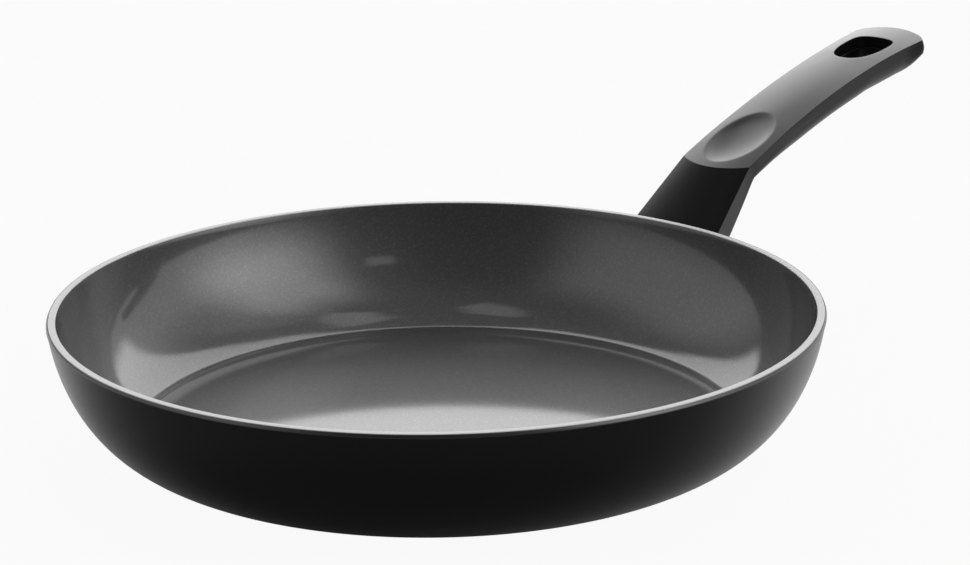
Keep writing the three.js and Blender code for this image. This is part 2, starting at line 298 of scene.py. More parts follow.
def turnedMetal(name):
    finish = metalFinishes[name]
    material, tree, shader = newMaterial(name)
    shader.inputs["Metallic"].default_value = 1
    shader.inputs["Base Color"].default_value = (*finish["shade"], 1)
    rings = placeGroup(tree, turnedRings, Rings=finish["ringsPerMetre"])
    addRelief(tree, shader, finish, rings.outputs["Bands"], rings.outputs["Height"], "ringBump")
    return material


def satinBlack(name):
    finish = blackFinishes[name]
    material, tree, shader = newMaterial(name)
    shader.inputs["Base Color"].default_value = (*finish["shade"], 1)
    shader.inputs["Specular IOR Level"].default_value = finish["specular"]
    grain = placeGroup(tree, fineGrain, Scale=finish["grainsPerMetre"])
    addRelief(tree, shader, finish, grain.outputs["Patches"], grain.outputs["Height"], "grainBump")
    return material


ceramicFinish = {
    "shade": (0.095, 0.095, 0.096),
    "fleck": (0.13, 0.13, 0.132),
    "flecksPerMetre": 1900.0,
    "plainShare": 0.6,  # share of the flakes that don't stand out
    "metallic": 0.8,
    "roughness": (0.42, 0.48),
    "grainsPerMetre": 2600.0,
    "depth": 0.00007,
    "glaze": 1.0,
    "glazeRoughness": 0.08,
    "glazeIor": 1.6,
}


# Metal flakes in grey ceramic under a smooth clear glaze
def fleckedCeramic():
    material, tree, shader = newMaterial("flecked_ceramic")
    shader.inputs["Metallic"].default_value = ceramicFinish["metallic"]
    shader.inputs["Coat Weight"].default_value = ceramicFinish["glaze"]
    shader.inputs["Coat Roughness"].default_value = ceramicFinish["glazeRoughness"]
    shader.inputs["Coat IOR"].default_value = ceramicFinish["glazeIor"]
    where = addNode(tree, "ShaderNodeTexCoord").outputs["Object"]
    flakes = addNode(tree, "ShaderNodeTexVoronoi", {
        "Vector": where, "Scale": ceramicFinish["flecksPerMetre"]})
    pick = addNode(tree, "ShaderNodeSeparateColor", {"Color": flakes.outputs["Color"]})
    shine = smoothRange(tree, pick.outputs["Red"], ceramicFinish["plainShare"], 1.0)
    colour = mixColours(tree, shine, (*ceramicFinish["shade"], 1), (*ceramicFinish["fleck"], 1))
    grain = placeGroup(tree, fineGrain, Scale=ceramicFinish["grainsPerMetre"])
    height = calculate(tree, "ADD", pick.outputs["Green"], grain.outputs["Height"])
    tree.links.new(colour, shader.inputs["Base Color"])
    addRelief(tree, shader, ceramicFinish, grain.outputs["Patches"], height, "fleckBump")
    return material


polishForm = {
    "weight": 0.9, "roughness": 0.3, "ior": 1.38,
    "tilt": (0.78, 0.92),  # how squarely a face looks up where the polish starts, and where it is full
}


# Rubs the faces that look up smoother than the rest
def polishTop(material):
    tree = material.node_tree
    shader = tree.nodes["Principled BSDF"]
    shader.inputs["Coat Roughness"].default_value = polishForm["roughness"]
    shader.inputs["Coat IOR"].default_value = polishForm["ior"]
    facing = addNode(tree, "ShaderNodeNewGeometry").outputs["Normal"]
    upwards = addNode(tree, "ShaderNodeSeparateXYZ", {0: facing}).outputs["Z"]
    polish = smoothRange(tree, upwards, *polishForm["tilt"], top=polishForm["weight"])
    tree.links.new(polish, shader.inputs["Coat Weight"])
    return material


rimMetal = turnedMetal("turned_aluminium")
discMetal = turnedMetal("spun_steel")
zincMetal = turnedMetal("zinc_plate")
lacquer = satinBlack("black_lacquer")
phenolic = polishTop(satinBlack("black_phenolic"))
ceramic = fleckedCeramic()
print("materials made")


# Pan: one wall curve, from the rim (0) down to the base (1), shared by metal, lacquer and ceramic
panForm = {
    "baseMargin": 5.0,  # how far the base reaches past the disc, mm
    "lean": 7.7,  # degrees off upright under the rim
    "upperPull": 27.5,
    "lowerPull": 25.0,
    "lip": 1.6,  # height of the band under the rim
    "lipStep": 0.25,  # how far it stands out from the wall
    "lipLean": 0.35,  # how far it leans in towards the top
    "outerEdge": 0.4,  # rounding along the rim
    "innerEdge": 0.3,
    "bareEdge": 0.15,  # how far in the lacquer reaches over the outer rounding
    "baseLift": 0.3,
    "wall": 3.4,
    "coat": 0.2,
    "primer": 0.05,
    "crease": 6.1,  # height of the inside crease
    "floorRise": 0.4,
    "footRise": 3.0,  # height over which the wall eases in above the crease
    "shoulder": 2.8,  # width over which the floor eases down to the crease
    "discGap": 0.3,
    "floorRings": (0, 0.5, 0.97),  # shares of the flat floor's radius
    "steps": 240,
    "wallSteps": 40,
    "bendSteps": 8,
}
baseRadius = discRadius + panForm["baseMargin"]
lean = math.radians(panForm["lean"])
lipFoot = Vector((rimRadius - panForm["lipStep"], panHeight - panForm["lip"]))
wallCurve = [
    lipFoot,
    lipFoot - Vector((math.sin(lean), math.cos(lean))) * panForm["upperPull"],
    Vector((baseRadius + panForm["lowerPull"], panForm["baseLift"])),
    Vector((baseRadius, panForm["baseLift"])),
]


def wallTangent(t):
    a, b, c, d = wallCurve
    return ((b - a) * (1 - t) ** 2 + (c - b) * 2 * t * (1 - t) + (d - c) * t * t).normalized()


def wallPoint(t, inwards=0.0):
    along = wallTangent(t)
    return cubic(wallCurve, t) + Vector((along.y, -along.x)) * inwards


# The place on the wall's curve at a height
def wallPlace(height, inwards=0.0):
    above, below = 0.0, 1.0
    for _ in range(halvings):
        middle = (above + below) / 2
        if wallPoint(middle, inwards).y > height:
            above = middle
        else:
            below = middle
    return above


floorHeight = panForm["crease"] + panForm["floorRise"]
creasePlace = wallPlace(panForm["crease"], panForm["wall"])
creaseRadius = wallPoint(creasePlace, panForm["wall"]).x


# Outside from the disc's edge up to the lip, moved into the wall
def outerLine(inwards):
    count = panForm["wallSteps"]
    line = [Vector((discRadius + panForm["discGap"], panForm["baseLift"] + inwards))]
    line += [wallPoint(1 - k / count, inwards) for k in range(count + 1)]
    return line


def bend(start, pull, end):
    places = [k / panForm["bendSteps"] for k in range(panForm["bendSteps"] + 1)]
    return [start * (1 - t) ** 2 + pull * 2 * t * (1 - t) + end * t * t for t in places]


# Inside from the middle of the floor up to the rim, moved into the wall
def innerLine(into):
    count = panForm["wallSteps"]
    high, low = floorHeight - into, panForm["crease"] - into
    start, end = creaseRadius - panForm["shoulder"], creaseRadius
    line = [Vector((start * share, high)) for share in panForm["floorRings"]]
    crease = Vector((end, low))
    line += bend(Vector((start, high)), Vector((end - panForm["shoulder"] / 3, high)), crease)
    place = wallPlace(panForm["crease"] + panForm["footRise"], panForm["wall"])
    foot, along = wallPoint(place, panForm["wall"] - into), wallTangent(place)
    line += bend(crease, foot + along * (low - foot.y) / along.y, foot)[1:]
    line += [wallPoint(place * (1 - k / count), panForm["wall"] - into) for k in range(1, count + 1)]
    return line


# The lip under the rim, from its foot up to where it rounds over
def lipLine(inwards):
    face = rimRadius - inwards
    step, bulge = panForm["lipStep"], lipFoot.y + 2 * panForm["lipStep"]
    hollow = arc((face - step, bulge), 2 * step, -90, -30, steps=3)
    top = Vector((face - panForm["lipLean"], panHeight - panForm["outerEdge"]))
    return [Vector((min(point.x, face), point.y)) for point in hollow] + [Vector((face, bulge)), top]


def makePanMetal():
    bm = bmesh.new()
    under = panForm["coat"] + panForm["primer"]
    outerEdge, innerEdge = panForm["outerEdge"], panForm["innerEdge"]
    outerRim = rimRadius - under - panForm["lipLean"]
    innerRim = rimRadius - panForm["wall"]
    seat = discRadius + panForm["discGap"]
    profile = [Vector((0, discThickness)), Vector((seat, discThickness))]
    profile += outerLine(under)[:-1] + lipLine(under)
    profile += arc((outerRim - outerEdge, panHeight - outerEdge), outerEdge, 0, 90, steps=6)
    profile += arc((innerRim + innerEdge, panHeight - innerEdge), innerEdge, 90, 180, steps=8)
    profile += reversed(innerLine(under))
    turnProfile(bm, profile, panForm["steps"])
    shadeByAngle(bm)
    addPiece("pan_metal", bm, rimMetal, "bare_aluminium", "pan_body")


def makeCeramicCoat():
    bm = bmesh.new()
    top = Vector((rimRadius - panForm["wall"], panHeight - panForm["innerEdge"]))
    behind = top + Vector((panForm["coat"], 0))
    profile = innerLine(0) + [top, behind] + list(reversed(innerLine(panForm["coat"])))
    turnProfile(bm, profile, panForm["steps"])
    shadeByAngle(bm)
    addPiece("ceramic_lining", bm, ceramic, "grey_ceramic", "ceramic_coating")


rubForm = {
    "shade": (0.1, 0.1, 0.1, 1),
    "from": 0.2, "to": 0.5,  # above the lip's foot, where the rubbing starts and where it is full, mm
}


# The lacquer on the lip is rubbed thin, and metal shows through it
def rubLip(material):
    tree = material.node_tree
    shader = tree.nodes["Principled BSDF"]
    where = addNode(tree, "ShaderNodeTexCoord").outputs["Object"]
    height = addNode(tree, "ShaderNodeSeparateXYZ", {0: where}).outputs["Z"]
    start, full = ((lipFoot.y + rubForm[key]) * mm for key in ("from", "to"))
    rubbed = smoothRange(tree, height, start, full)
    black = tuple(shader.inputs["Base Color"].default_value)
    tree.links.new(mixColours(tree, rubbed, black, rubForm["shade"]), shader.inputs["Base Color"])
    tree.links.new(rubbed, shader.inputs["Metallic"])


def makeLacquerCoat():
    bm = bmesh.new()
    coat, edge = panForm["coat"], panForm["outerEdge"]
    middle = (rimRadius - panForm["lipLean"] - edge, panHeight - edge - panForm["primer"])
    over = math.degrees(math.acos(1 - panForm["bareEdge"] / edge))
    outside = outerLine(0)[:-1] + lipLine(0) + arc(middle, edge, 0, over, steps=4)
    inside = outerLine(coat)[:-1] + lipLine(coat) + arc(middle, edge - coat, 0, over, steps=4)
    turnProfile(bm, outside + list(reversed(inside)), panForm["steps"], closed=True)
    shadeByAngle(bm)
    addPiece("lacquer_coat", bm, lacquer, "black_lacquer", "outer_coating")


makePanMetal()
makeCeramicCoat()
rubLip(lacquer)
makeLacquerCoat()
print("pan turned")


# Handle: a grid of rows along it and columns across, doubled into a top and an underside
handleForm = {
    "creaseReach": 36.0, "creaseRise": 15.9,  # the crease across the top, from the rim, mm
    "neckSlope": 36.5, "gripStartSlope": 19.9, "gripEndSlope": 4.0,  # degrees
    "footWidth": 42.5, "creaseWidth": 32.0, "gripWidth": 30.5, "tipWidth": 34.5,
    "tipRadius": 32.0, "tipCorner": 2.5, "tipSetback": 0.5,
    "noseLength": 13.0, "noseSwell": 0.5, "noseBulge": 0.8, "noseBlend": 16.0,
    "nosePowers": (2.5, 0.65),  # of the curve by which the underside rises to the nose
    "kneeReach": 41.0, "kneeThickness": 11.5, "gripThickness": 15.5,
    "heelDepth": 34.0, "heelInset": 10.0,
    "neckBand": 12.5, "kneeBand": 6.4, "gripBand": 5.0, "bandInset": 0.8,
    "neckCrown": 4.0, "gripCrown": 1.6,
    "topEdge": 0.25, "bandEdge": 0.9,  # roundings above and below the side bands
    "fit": 0.3,  # gap to the pan's wall
}
dimpleForm = {"setback": 16.6, "length": 38.6, "width": 23.3, "depth": 2.8, "bowl": 8.0, "edge": 0.7}
holeForm = {
    "setback": 29.6, "length": 27.4, "width": 19.8,
    "narrowPull": 0.66, "broadPull": 0.95, "broadest": 0.3,
    "step": 0.8, "stepDepth": 5.0, "edge": 0.25,
}
gridForm = {
    "neckRows": 6, "blockRows": 8, "shaftRows": 6, "tipRows": 5,
    "margin": 3,  # columns between a block and the handle's edge
    "blockShare": 0.68,  # width of the block's columns where there is no block
    "edgeSpread": 0.86,  # how far a block's rows spread out at the handle's edge
    "bellyAngle": 52.0,  # degrees round the belly that the block's columns take up on each side
    "sideLevels": 3, "holeLevels": 4, "smoothLevels": 2,
    "tolerance": 1e-4,
}

creaseX = rimRadius + handleForm["creaseReach"]
creaseZ = panHeight + handleForm["creaseRise"]
kneeX = rimRadius + handleForm["kneeReach"]
heelX = rimRadius - handleForm["heelInset"]
heelZ = panHeight - handleForm["heelDepth"]
waistX = creaseX + (tipX - creaseX) / 3
topEnd = tipX - handleForm["tipSetback"]
arcMiddle = topEnd - handleForm["tipRadius"]
neckRise, startRise, endRise = (
    math.tan(math.radians(handleForm[key])) for key in ("neckSlope", "gripStartSlope", "gripEndSlope"))
creaseBow = (handleForm["neckCrown"] - handleForm["gripCrown"]) / (neckRise - startRise)


def topRise(x):
    return lerp(startRise, endRise, (x - creaseX) / (tipX - creaseX))


def topHeight(x):
    if x < creaseX:
        return creaseZ + neckRise * (x - creaseX)
    return creaseZ + (startRise + topRise(x)) / 2 * (x - creaseX)


def halfWidth(x):
    if x < creaseX:
        t = (x - rimRadius) / (creaseX - rimRadius)
        return lerp(handleForm["footWidth"], handleForm["creaseWidth"], t) / 2
    waisted = lerp(handleForm["creaseWidth"], handleForm["gripWidth"], smoothStep(x, creaseX, waistX))
    flare = max(0, (x - waistX) / (tipX - waistX)) ** 3
    return (waisted + flare * (handleForm["tipWidth"] - handleForm["gripWidth"])) / 2


def bandDepth(x):
    knee = handleForm["kneeBand"]
    atKnee = lerp(handleForm["neckBand"], knee, smoothStep(x, creaseX - knee, kneeX))
    return lerp(atKnee, handleForm["gripBand"], smoothStep(x, kneeX, waistX))


# The neck's fuller crown meets the grip's flatter one along the crease
def surfaceHeight(x, y):
    swell = 1 - (y / halfWidth(x)) ** 2
    neck = creaseZ + neckRise * (x - creaseX) + handleForm["neckCrown"] * swell
    if x >= creaseX:
        return topHeight(x) + handleForm["gripCrown"] * swell
    grip = creaseZ + startRise * (x - creaseX) + handleForm["gripCrown"] * swell
    return min(neck, grip)


kneeZ = topHeight(kneeX) - handleForm["kneeThickness"]
heelThird = (kneeX - heelX) / 3
heelCurve = [
    Vector((kneeX, kneeZ)),
    Vector((kneeX - heelThird, kneeZ - heelThird)),
    Vector(((kneeX + heelX) / 2, heelZ)),
    Vector((heelX, heelZ)),
]


def heelHeight(x):
    low, high = 0.0, 1.0
    for _ in range(halvings):
        t = (low + high) / 2
        point = cubic(heelCurve, t)
        if point.x > x:
            low = t
        else:
            high = t
    return point.y


def arcEnd(y):
    return arcMiddle + math.sqrt(handleForm["tipRadius"] ** 2 - y * y)


# How far round the nose a place is, from 0 on the grip to 1 at the tip
def noseShare(x):
    return smoothStep(x, topEnd - handleForm["noseBlend"], topEnd - handleForm["noseBlend"] / 3)


# The band leans in along the grip, and swells out past the top's edge round the nose
def bellyHalf(x):
    return halfWidth(x) - lerp(handleForm["bandInset"], -handleForm["noseSwell"], noseShare(x))


def bellyHeight(x, y):
    swell = math.sqrt(max(0, 1 - (y / bellyHalf(x)) ** 2))
    bandZ = topHeight(x) - bandDepth(x)
    if x < kneeX:
        return bandZ - (bandZ - heelHeight(x)) * swell
    thickness = lerp(handleForm["kneeThickness"], handleForm["gripThickness"], smoothStep(x, kneeX, waistX))
    toNose = min(max((arcEnd(y) + handleForm["noseSwell"] - x) / handleForm["noseLength"], 0), 1)
    inner, outer = handleForm["nosePowers"]
    return bandZ - (thickness - bandDepth(x)) * swell * (1 - (1 - toNose) ** inner) ** outer


# The pan's wall, as seen by the handle's foot
def wallAt(y, z):
    radius = wallPoint(wallPlace(z, -handleForm["fit"]), -handleForm["fit"]).x
    return math.sqrt(radius ** 2 - y * y)


# Where a block's outline passes, for a place on the edge of its square (p along the handle, q across)
def outlineShare(p, q):
    return abs(q) / 2 if abs(p) >= abs(q) else 1 - abs(p) / 2


# The dimple's outline is an oval
def dimplePoint(p, q):
    angle = math.radians(90 * outlineShare(p, q))
    x = dimpleForm["length"] / 2 * math.cos(angle)
    y = dimpleForm["width"] / 2 * math.sin(angle)
    return Vector((math.copysign(x, p), math.copysign(y, q)))


# The hole's outline is an egg, broad towards the tip
def eggPoint(p, q, inset=0.0):
    end, side = holeForm["length"] / 2 - inset, holeForm["width"] / 2 - inset
    widest = Vector((end * holeForm["broadest"], side))
    if p < 0:
        pull = holeForm["narrowPull"]
        points = [Vector((-end, 0)), Vector((-end, side * pull)), Vector((-end / 2, side)), widest]
    else:
        pull = holeForm["broadPull"]
        points = [Vector((end, 0)), Vector((end, side * pull)), Vector((end * pull, side)), widest]
    point = cubic(points, outlineShare(p, q))
    return Vector((point.x, math.copysign(point.y, q)))


# Its outline under the ledge
def innerEgg(p, q):
    return eggPoint(p, q, holeForm["step"])


# Rows and columns of the grid
half = gridForm["blockRows"] // 2
creaseRow = gridForm["neckRows"]
dimpleRow = creaseRow + 1 + half
holeRow = dimpleRow + half + gridForm["shaftRows"] + half
lastRow = holeRow + half + gridForm["tipRows"]
middleColumn = gridForm["margin"] + half
lastColumn = 2 * middleColumn
dimpleX = creaseX + dimpleForm["setback"]
holeX = tipX - holeForm["setback"]
holeTilt = math.atan(topRise(holeX))


def blockPlace(row, column, centreRow):
    p = (row - centreRow) / half
    q = (column - middleColumn) / half
    return p, max(-1, min(1, q)), max(0, abs(q) - 1) * half / gridForm["margin"]


# A grid point of a block: concentric inside it, spread out to the handle's edge beside it
def blockPoint(row, column, centreRow, centreX, outline, edgeHalf):
    p, q, beyond = blockPlace(row, column, centreRow)
    ring = max(abs(p), abs(q))
    point = outline(p / ring, q / ring) * ring if ring else Vector((0, 0))
    x, y = centreX + point.x, point.y
    edgeX = centreX + p * abs(outline(1, 0).x) * gridForm["edgeSpread"]
    return lerp(x, edgeX, beyond), lerp(y, math.copysign(edgeHalf(edgeX), q), beyond)


# Spaces the columns beside the hole evenly round the belly instead of evenly across it
def roundFlank(row, column, x, y):
    beyond = blockPlace(row, column, holeRow)[2]
    edge = bellyHalf(x)
    if not beyond or beyond >= 1:
        return y
    inner = (abs(y) - edge * beyond) / (1 - beyond)
    return math.copysign(edge * math.sin(lerp(math.asin(inner / edge), math.pi / 2, beyond)), y)


def tipShare(row):
    return math.sin(math.pi / 2 * (row - holeRow - half) / gridForm["tipRows"])


# A column's place across the handle: even up to a block's edge, then on to the handle's edge
def columnPlace(column, atBlock, atEdge):
    inner = (column - middleColumn) / half
    if abs(inner) <= 1:
        return inner * atBlock
    past = (abs(inner) - 1) * half / gridForm["margin"]
    return math.copysign(lerp(atBlock, atEdge, past), inner)


@lru_cache(maxsize=None)
def topPlan(row, column):
    side = (column - middleColumn) / middleColumn
    share = columnPlace(column, gridForm["blockShare"], 1)
    if row <= creaseRow:
        y = share * halfWidth(rimRadius)
        foot = rimRadius
        for _ in range(settling):
            foot = wallAt(y, surfaceHeight(foot, y))
        x = lerp(foot, creaseX - creaseBow * (1 - share ** 2), row / creaseRow)
        return x, share * halfWidth(x)
    if row <= dimpleRow + half:
        return blockPoint(row, column, dimpleRow, dimpleX, dimplePoint, halfWidth)
    if row < holeRow - half:
        start = dimpleX + dimpleForm["length"] / 2
        end = holeX - holeForm["length"] / 2
        x = lerp(start, end, (row - dimpleRow - half) / gridForm["shaftRows"])
        return x, share * halfWidth(x)
    if row <= holeRow + half:
        return blockPoint(row, column, holeRow, holeX, eggPoint, halfWidth)
    x, y = topPlan(holeRow + half, column)
    endY = side * tipCorner()
    t = tipShare(row)
    return roundTip(lerp(x, arcEnd(endY), t), lerp(y, endY, t), 0, halfWidth)


# Half the width where the sides meet the tip's arc
def tipCorner():
    y = handleForm["tipWidth"] / 2
    for _ in range(settling):
        y = halfWidth(arcEnd(y))
    return y


# Rounds the two corners of the tip in plan
def roundTip(x, y, outset, edgeHalf):
    size = handleForm["tipCorner"]
    u = size - (arcEnd(y) + outset - x)
    v = size - (edgeHalf(x) - abs(y))
    if u <= 0 or v <= 0:
        return x, y
    flatU = u * math.sqrt(max(0, 1 - v * v / (2 * size * size)))
    flatV = v * math.sqrt(max(0, 1 - u * u / (2 * size * size)))
    return x - u + flatU, y - math.copysign(v - flatV, y)


@lru_cache(maxsize=None)
def bottomPlan(row, column):
    share = math.sin(math.radians(columnPlace(column, gridForm["bellyAngle"], 90)))
    if row <= creaseRow:
        y = share * bellyHalf(rimRadius)
        foot = heelX
        for _ in range(settling):
            foot = wallAt(y, bellyHeight(foot, y))
        x = lerp(foot, kneeX, row / creaseRow)
        return x, share * bellyHalf(x)
    middle = holeX + math.sin(holeTilt) * handleForm["gripThickness"]
    if row < holeRow - half:
        end = middle - holeForm["length"] / 2
        x = lerp(kneeX, end, (row - creaseRow) / (holeRow - half - creaseRow))
        return x, share * bellyHalf(x)
    if row <= holeRow + half:
        x, y = blockPoint(row, column, holeRow, middle, innerEgg, bellyHalf)
        return x, roundFlank(row, column, x, y)
    x, y = bottomPlan(holeRow + half, column)
    swell = handleForm["noseSwell"]
    endY = share * (tipCorner() + swell)
    t = tipShare(row)
    return roundTip(lerp(x, arcEnd(endY) + swell, t), lerp(y, endY, t), swell, bellyHalf)


def topPoint(row, column):
    x, y = topPlan(row, column)
    z = surfaceHeight(x, y)
    p, q, _ = blockPlace(row, column, dimpleRow)
    if abs(p) < 1 and abs(q) < 1:
        ring = max(abs(p), abs(q))
        flat = 1 - dimpleForm["depth"] / dimpleForm["bowl"]
        span = 1 - flat * flat
        z -= dimpleForm["bowl"] * (math.sqrt(1 - span * ring * ring) - flat)
    return Vector((x, y, z))


def bottomPoint(row, column):
    x, y = bottomPlan(row, column)
    return Vector((x, y, bellyHeight(x, y)))


# Points between top and underside, on the foot, round the nose or down a side
def wallLevelPoint(row, column, level):
    top, bottom = topPoint(row, column), bottomPoint(row, column)
    point = bottom.lerp(top, level)
    if row == 0:
        point.x = wallAt(point.y, point.z)
        return point
    outwards = Vector((top.x - arcMiddle, top.y, 0)).normalized()
    if row < lastRow:
        outwards = Vector((0, math.copysign(1, top.y), 0))
    return point + outwards * handleForm["noseBulge"] * math.sin(math.pi * level) * noseShare(top.x)


# Points down the hole: on the ledge's outer edge, on its inner edge, then on to the underside
def holeLevelPoint(row, column, level):
    p, q, _ = blockPlace(row, column, holeRow)
    top, bottom = topPoint(row, column), bottomPoint(row, column)
    down = Vector((math.sin(holeTilt), 0, -math.cos(holeTilt)))
    ledge = holeForm["stepDepth"]
    levels = gridForm["holeLevels"]
    stage = round((1 - level) * (levels + 1))
    inner = innerEgg(p, q) - eggPoint(p, q)
    shift = Vector((inner.x, inner.y, 0))
    if stage == 1:
        return top + down * ledge
    onLedge = top + down * ledge + shift
    if stage == 2:
        return onLedge
    return onLedge.lerp(bottom, (stage - 2) / (levels - 1))


def near(a, b):
    return abs(a - b) < gridForm["tolerance"]


# The grid with every point at its row, column and level, which is 1 on the top and 0 on the underside
def handleGrid():
    bm = bmesh.new()
    bmesh.ops.create_grid(bm, x_segments=lastRow, y_segments=lastColumn, size=1)
    for vert in bm.verts:
        row = round((vert.co.x + 1) / 2 * lastRow)
        column = round((vert.co.y + 1) / 2 * lastColumn)
        vert.co = (row, column, 1)
    doubled = bmesh.ops.extrude_face_region(bm, geom=list(bm.faces))
    for item in doubled["geom"]:
        if isinstance(item, bmesh.types.BMVert):
            item.co.z = 0

    def inHole(face):
        middle = face.calc_center_median()
        return abs(middle.x - holeRow) < half and abs(middle.y - middleColumn) < half

    def upright(edge):
        return near(abs(edge.verts[0].co.z - edge.verts[1].co.z), 1)

    # Hanging hole: a block of faces taken out of top and underside, and the two outlines bridged
    bmesh.ops.delete(bm, geom=[face for face in bm.faces if inHole(face)], context="FACES")
    loose = [edge for edge in bm.edges if len(edge.link_faces) == 1]
    holeWall = set(bmesh.ops.bridge_loops(bm, edges=loose)["faces"])
    uprights = [edge for edge in bm.edges if upright(edge)]
    holeUprights = [edge for edge in uprights if holeWall.intersection(edge.link_faces)]
    sideUprights = [edge for edge in uprights if not holeWall.intersection(edge.link_faces)]
    bmesh.ops.subdivide_edges(bm, edges=holeUprights, cuts=gridForm["holeLevels"], use_grid_fill=True)
    bmesh.ops.subdivide_edges(bm, edges=sideUprights, cuts=gridForm["sideLevels"], use_grid_fill=True)
    return bm


# The grid's edges that are to be rounded, each kind with its size
def handleEdges(bm):
    def along(edge, *levels):
        return any(all(near(vert.co.z, level) for vert in edge.verts) for level in levels)

    def onRim(edge):
        rows = {round(vert.co.x) for vert in edge.verts}
        columns = {round(vert.co.y) for vert in edge.verts}
        return rows in ({0}, {lastRow}) or columns in ({0}, {lastColumn})

    def onCrease(edge):
        return all(near(vert.co.x, creaseRow) for vert in edge.verts)

    def onBlock(edge, centreRow):
        places = [blockPlace(vert.co.x, vert.co.y, centreRow) for vert in edge.verts]
        (startP, startQ, _), (endP, endQ, _) = places
        onOutline = all(near(max(abs(p), abs(q)), 1) and not beyond for p, q, beyond in places)
        return onOutline and (near(startP, endP) or near(startQ, endQ))

    bandEdges = [edge for edge in bm.edges if onRim(edge) or onCrease(edge)]
    ledgeLevels = [1 - k / (gridForm["holeLevels"] + 1) for k in (1, 2)]
    holeEdges = [edge for edge in bm.edges if onBlock(edge, holeRow)]
    return (
        ([edge for edge in bandEdges if along(edge, 1)], handleForm["topEdge"]),
        ([edge for edge in bandEdges if along(edge, 0)], handleForm["bandEdge"]),
        ([edge for edge in bm.edges if along(edge, 1) and onBlock(edge, dimpleRow)], dimpleForm["edge"]),
        ([edge for edge in holeEdges if along(edge, 0, 1, *ledgeLevels)], holeForm["edge"]),
    )


def makeHandle():
    bm = handleGrid()
    roundings = handleEdges(bm)
    for vert in bm.verts:
        row, column, level = round(vert.co.x), round(vert.co.y), vert.co.z
        if near(level, 1):
            vert.co = topPoint(row, column) * mm
        elif near(level, 0):
            vert.co = bottomPoint(row, column) * mm
        elif 0 < row < lastRow and 0 < column < lastColumn:
            vert.co = holeLevelPoint(row, column, level) * mm
        else:
            vert.co = wallLevelPoint(row, column, level) * mm
    bmesh.ops.recalc_face_normals(bm, faces=bm.faces)
    for edges, size in roundings:
        roundEdges(bm, edges, size)
    for face in bm.faces:
        face.smooth = True
    handle = addPiece("moulded_handle", bm, phenolic, "black_phenolic", "handle")
    smooth = handle.modifiers.new("smooth", "SUBSURF")
    smooth.levels = smooth.render_levels = gridForm["smoothLevels"]
    return handle


handle = makeHandle()
print("handle moulded")


# Steel disc pressed into the underside
discForm = {
    "rowSpacing": 24.0, "holePitch": 26.0, "edgeMargin": 6.0,
    "holeRadius": 3.0, "corners": 32, "edge": 0.15,
}


def discHoles():
    row = discForm["rowSpacing"]
    while row < discRadius - discForm["edgeMargin"]:
        count = round(2 * math.pi * row / discForm["holePitch"])
        for k in range(count):
            angle = 2 * math.pi * k / count
            yield Vector((row * math.cos(angle), row * math.sin(angle), 0))
        row += discForm["rowSpacing"]


def makeDisc():
    bm = bmesh.new()
    bmesh.ops.create_circle(bm, segments=panForm["steps"], radius=discRadius * mm)
    for middle in discHoles():
        bmesh.ops.create_circle(bm, segments=discForm["corners"], radius=discForm["holeRadius"] * mm,
                                matrix=Matrix.Translation(middle * mm))
    bmesh.ops.triangle_fill(bm, use_beauty=True, use_dissolve=False, edges=bm.edges)
    thicken(bm, list(bm.faces), discThickness)
    sharp = [edge for edge in bm.edges if edge.calc_face_angle(0) > math.radians(sharpAngle)]
    lower = [edge for edge in sharp if all(vert.co.z < mergeDistance for vert in edge.verts)]
    roundEdges(bm, lower, discForm["edge"])
    shadeByAngle(bm)
    addPiece("base_disc", bm, discMetal, "disc_steel", "induction_disc")


makeDisc()
print("base disc pressed")


# Fixings of the handle, each turned about an axis square to the wall; heights are along that axis
fixingForm = {
    "drop": 20.5, "spread": 10.0,  # below the rim, and to each side of the middle, mm
    "stud": {"radius": 4.5, "from": 0.35, "to": 7.0, "bore": 2.8, "boreFrom": 1.5, "edge": 0.3},
    "screw": {"radius": 2.5, "root": 2.1, "pitch": 0.8, "from": 2.5, "threadTo": 10.5,
              "headFrom": 12.9, "headTo": 15.9, "headRadius": 4.6, "headEdge": 0.8},
    "cross": {"width": 1.2, "span": 5.0, "depth": 1.8},
    "washer": {"inner": 2.8, "outer": 4.6, "from": 11.6, "to": 12.6, "slit": 0.8, "spring": 0.25},
    "pocket": {"radius": 4.8, "from": -5.0, "to": 7.3},
    "bore": {"radius": 2.8, "to": 11.3},
    "recess": {"radius": 5.5, "to": 40.0},
    "steps": 64,
}


def fixingPlace(side):
    y = side * fixingForm["spread"]
    place = wallPlace(panHeight - fixingForm["drop"])
    foot, along = wallPoint(place), wallTangent(place)
    spot = Vector((math.sqrt(foot.x ** 2 - y * y), y, foot.y))
    return Matrix.Translation(spot * mm) @ Matrix.Rotation(math.atan2(-along.y, along.x), 4, "Y")


def turnFixing(profile, place):
    bm = bmesh.new()
    turnProfile(bm, profile, fixingForm["steps"])
    bmesh.ops.transform(bm, matrix=place, verts=bm.verts)
    shadeByAngle(bm)
    return bm


# Takes a solid out of a piece and keeps the result as the piece's own mesh
def cutAway(piece, bm):
    mesh = bpy.data.meshes.new("cutter")
    bm.to_mesh(mesh)
    bm.free()
    cutter = bpy.data.objects.new("cutter", mesh)
    scene.collection.objects.link(cutter)
    cut = piece.modifiers.new("cut", "BOOLEAN")
    cut.operation, cut.solver, cut.object = "DIFFERENCE", "EXACT", cutter
    shaped = bpy.data.meshes.new_from_object(piece.evaluated_get(bpy.context.evaluated_depsgraph_get()))
    piece.modifiers.clear()
    piece.data = shaped
    piece.data.set_sharp_from_angle(angle=math.radians(sharpAngle))
    bpy.data.objects.remove(cutter)


